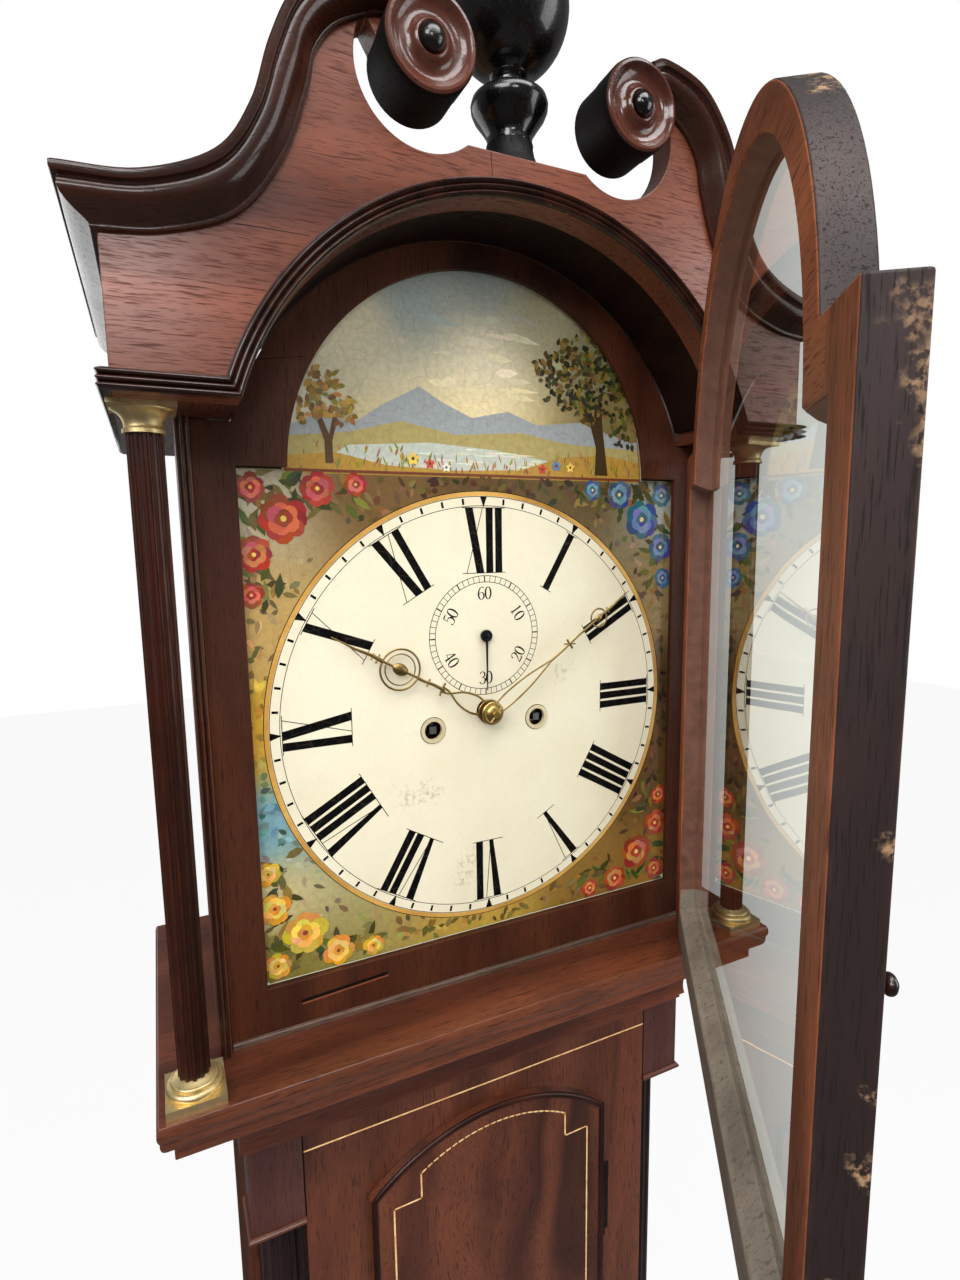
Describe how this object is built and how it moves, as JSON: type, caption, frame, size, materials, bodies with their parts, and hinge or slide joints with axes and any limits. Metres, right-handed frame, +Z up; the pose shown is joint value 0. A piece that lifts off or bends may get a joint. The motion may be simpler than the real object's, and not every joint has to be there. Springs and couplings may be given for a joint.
{
  "type": "longcase_clock",
  "caption": "Longcase clock with a swan-neck hood, painted break-arch dial, opening glazed hood door and trunk door, and a weight-driven striking movement with a pendulum.",
  "frame": {"origin": "On the floor, in the middle of the plinth's footprint.", "axes": "+Z is up, -Y is the front with the dial, +X is to the right as one looks at the dial."},
  "size_m": [0.486, 0.5178, 2.0757],
  "materials": {
    "case_wood": "French polished mahogany, reddish brown, glossy",
    "frieze_veneer": "French polished figured mahogany, glossy",
    "door_veneer": "French polished flame mahogany, glossy",
    "dark_wood": "dark polished wood",
    "hood_door_wood": "mahogany, polished outside and bare inside, worn at its edges",
    "mask_wood": "thin mahogany board, satin",
    "oak": "plain oak and pine, unpolished",
    "glass": "old clear sheet glass, slightly wavy",
    "dial_paint": "cream paint on iron, satin, fine cracks",
    "mount_brass": "lacquered brass with tarnish",
    "hand_brass": "pierced and matted brass",
    "movement_brass": "cast and turned brass, satin",
    "bell_brass": "bell metal, dull",
    "steel": "bright steel, grained",
    "bob_brass": "brass-faced lenticular bob",
    "black_steel": "blued black steel",
    "weight_iron": "cast iron, dull",
    "gut": "gut line"
  },
  "bodies": {
    "case": {"base_panel": "case_wood", "base_boards": "case_wood", "plinth_skirting": "case_wood", "waist_moulding": "case_wood", "trunk_front": "case_wood", "trunk_sides": "case_wood", "backboard": "oak", "corner_blocks": "case_wood", "quarter_columns": "case_wood", "throat_moulding": "case_wood", "trunk_door_hinges": "mount_brass", "seatboard": "oak", "dial_plate": "dial_paint", "winding_collets": "mount_brass", "movement_frame": "movement_brass", "back_cock": "movement_brass", "bell": "bell_brass", "bell_stand": "steel", "going_line": "gut", "strike_line": "gut"},
    "trunk_door": {"trunk_door": "door_veneer", "trunk_door_lock": "steel"},
    "hood": {"hood_base": "case_wood", "hood_sides": "case_wood", "frieze": "frieze_veneer", "arch_moulding": "frieze_veneer", "arch_reveal": "dark_wood", "hood_roof": "oak", "swan_necks": "frieze_veneer", "paterae": "dark_wood", "finial": "dark_wood", "dial_mask": "mask_wood", "columns": "case_wood", "column_brasses": "mount_brass"},
    "hood_door": {"hood_door_frame": "hood_door_wood", "hood_door_glass": "glass", "hood_door_knob": "dark_wood", "hood_door_pivots": "mount_brass"},
    "minute": {"minute_hand": "hand_brass", "centre_wheel": "movement_brass"},
    "hour": {"hour_hand": "hand_brass", "hour_wheel": "movement_brass"},
    "motion": {"minute_wheel": "movement_brass"},
    "going_great": {"going_great_wheel": "movement_brass"},
    "third": {"third_wheel": "movement_brass"},
    "seconds": {"seconds_hand": "black_steel", "escape_wheel": "movement_brass"},
    "anchor": {"anchor": "steel"},
    "pendulum": {"pendulum_rod": "steel", "pendulum_bob": "bob_brass"},
    "going_weight": {"going_weight": "weight_iron"},
    "going_sheave": {"going_sheave": "movement_brass"},
    "going_barrel": {"going_barrel": "movement_brass"},
    "strike_weight": {"strike_weight": "weight_iron"},
    "strike_sheave": {"strike_sheave": "movement_brass"},
    "strike_barrel": {"strike_barrel": "movement_brass"},
    "strike_great": {"strike_great_wheel": "movement_brass"},
    "pin": {"pin_wheel": "movement_brass"},
    "gathering": {"gathering_wheel": "movement_brass"},
    "hammer": {"hammer": "steel"}
  },
  "joints": [
    {"name": "hood_slide", "type": "slide", "parent": "case", "child": "hood", "axis": [0, -1, 0], "range_m": [0, 0.25]},
    {"name": "hood_door_hinge", "type": "hinge", "parent": "hood", "child": "hood_door", "pos_m": [0.19, -0.102, 1.59], "axis": [0, 0, 1], "range_deg": [-54.3, 4]},
    {"name": "trunk_door_hinge", "type": "hinge", "parent": "case", "child": "trunk_door", "pos_m": [0.1045, -0.07, 0.94], "axis": [0, 0, 1], "range_deg": [0, 100]},
    {"name": "minute_arbor", "type": "hinge", "parent": "case", "child": "minute", "pos_m": [0, -0.065, 1.59], "axis": [0, 1, 0], "continuous": true},
    {"name": "hour_pipe", "type": "hinge", "parent": "case", "child": "hour", "pos_m": [0, -0.065, 1.59], "axis": [0, 1, 0], "continuous": true},
    {"name": "motion_stud", "type": "hinge", "parent": "case", "child": "motion", "pos_m": [0, -0.035, 1.5666], "axis": [0, 1, 0], "continuous": true},
    {"name": "going_great_spin", "type": "hinge", "parent": "case", "child": "going_great", "pos_m": [0.0423, 0.021, 1.58], "axis": [0, 1, 0], "continuous": true},
    {"name": "third_arbor", "type": "hinge", "parent": "case", "child": "third", "pos_m": [0.01207, 0.005, 1.61812], "axis": [0, 1, 0], "continuous": true},
    {"name": "seconds_arbor", "type": "hinge", "parent": "case", "child": "seconds", "pos_m": [0, -0.065, 1.6455], "axis": [0, 1, 0], "continuous": true},
    {"name": "pendulum_swing", "type": "hinge", "parent": "case", "child": "pendulum", "pos_m": [0, 0.055, 1.6745], "axis": [0, 1, 0], "range_deg": [-2.5, 2.5]},
    {"name": "anchor_rock", "type": "hinge", "parent": "case", "child": "anchor", "pos_m": [0, -0.005, 1.6745], "axis": [0, 1, 0], "range_deg": [-2.5, 2.5]},
    {"name": "going_weight_rise", "type": "slide", "parent": "case", "child": "going_weight", "axis": [0, 0, 1], "range_m": [0, 1.02], "deforming": ["going_line"]},
    {"name": "going_barrel_spin", "type": "hinge", "parent": "case", "child": "going_barrel", "pos_m": [0.0423, -0.005, 1.58], "axis": [0, 1, 0], "range_deg": [0, 5058]},
    {"name": "going_sheave_spin", "type": "hinge", "parent": "going_weight", "child": "going_sheave", "pos_m": [0.0343, 0, 0.406], "axis": [0, 1, 0], "range_deg": [0, 3865]},
    {"name": "strike_weight_rise", "type": "slide", "parent": "case", "child": "strike_weight", "axis": [0, 0, 1], "range_m": [0, 1.02], "deforming": ["strike_line"]},
    {"name": "strike_barrel_spin", "type": "hinge", "parent": "case", "child": "strike_barrel", "pos_m": [-0.0423, -0.005, 1.58], "axis": [0, 1, 0], "range_deg": [0, 5058]},
    {"name": "strike_sheave_spin", "type": "hinge", "parent": "strike_weight", "child": "strike_sheave", "pos_m": [-0.0503, 0, 0.406], "axis": [0, 1, 0], "range_deg": [0, 3865]},
    {"name": "strike_great_spin", "type": "hinge", "parent": "case", "child": "strike_great", "pos_m": [-0.0423, 0.021, 1.58], "axis": [0, 1, 0], "continuous": true},
    {"name": "pin_arbor", "type": "hinge", "parent": "case", "child": "pin", "pos_m": [-0.04668, 0.005, 1.61568], "axis": [0, 1, 0], "continuous": true},
    {"name": "gathering_arbor", "type": "hinge", "parent": "case", "child": "gathering", "pos_m": [-0.03451, 0.005, 1.64178], "axis": [0, 1, 0], "continuous": true},
    {"name": "hammer_arbor", "type": "hinge", "parent": "case", "child": "hammer", "pos_m": [-0.062, 0.005, 1.668], "axis": [0, -1, 0], "range_deg": [0, 10], "stiffness_Nm_per_rad": 0.3, "springref_deg": -5.73}
  ],
  "couplings": [
    {"joint": "hour_pipe", "follows": "minute_arbor", "ratio": 0.083333},
    {"joint": "motion_stud", "follows": "minute_arbor", "ratio": -1},
    {"joint": "going_great_spin", "follows": "minute_arbor", "ratio": -0.083333},
    {"joint": "third_arbor", "follows": "minute_arbor", "ratio": -7.5},
    {"joint": "seconds_arbor", "follows": "minute_arbor", "ratio": 60},
    {"joint": "anchor_rock", "follows": "pendulum_swing", "ratio": 1},
    {"joint": "going_barrel_spin", "follows": "going_weight_rise", "rad_per_m": 86.207},
    {"joint": "going_sheave_spin", "follows": "going_weight_rise", "rad_per_m": 65.79},
    {"joint": "strike_barrel_spin", "follows": "strike_weight_rise", "rad_per_m": 86.207},
    {"joint": "strike_sheave_spin", "follows": "strike_weight_rise", "rad_per_m": 65.79},
    {"joint": "pin_arbor", "follows": "strike_great_spin", "ratio": -9.75},
    {"joint": "gathering_arbor", "follows": "strike_great_spin", "ratio": 78}
  ]
}
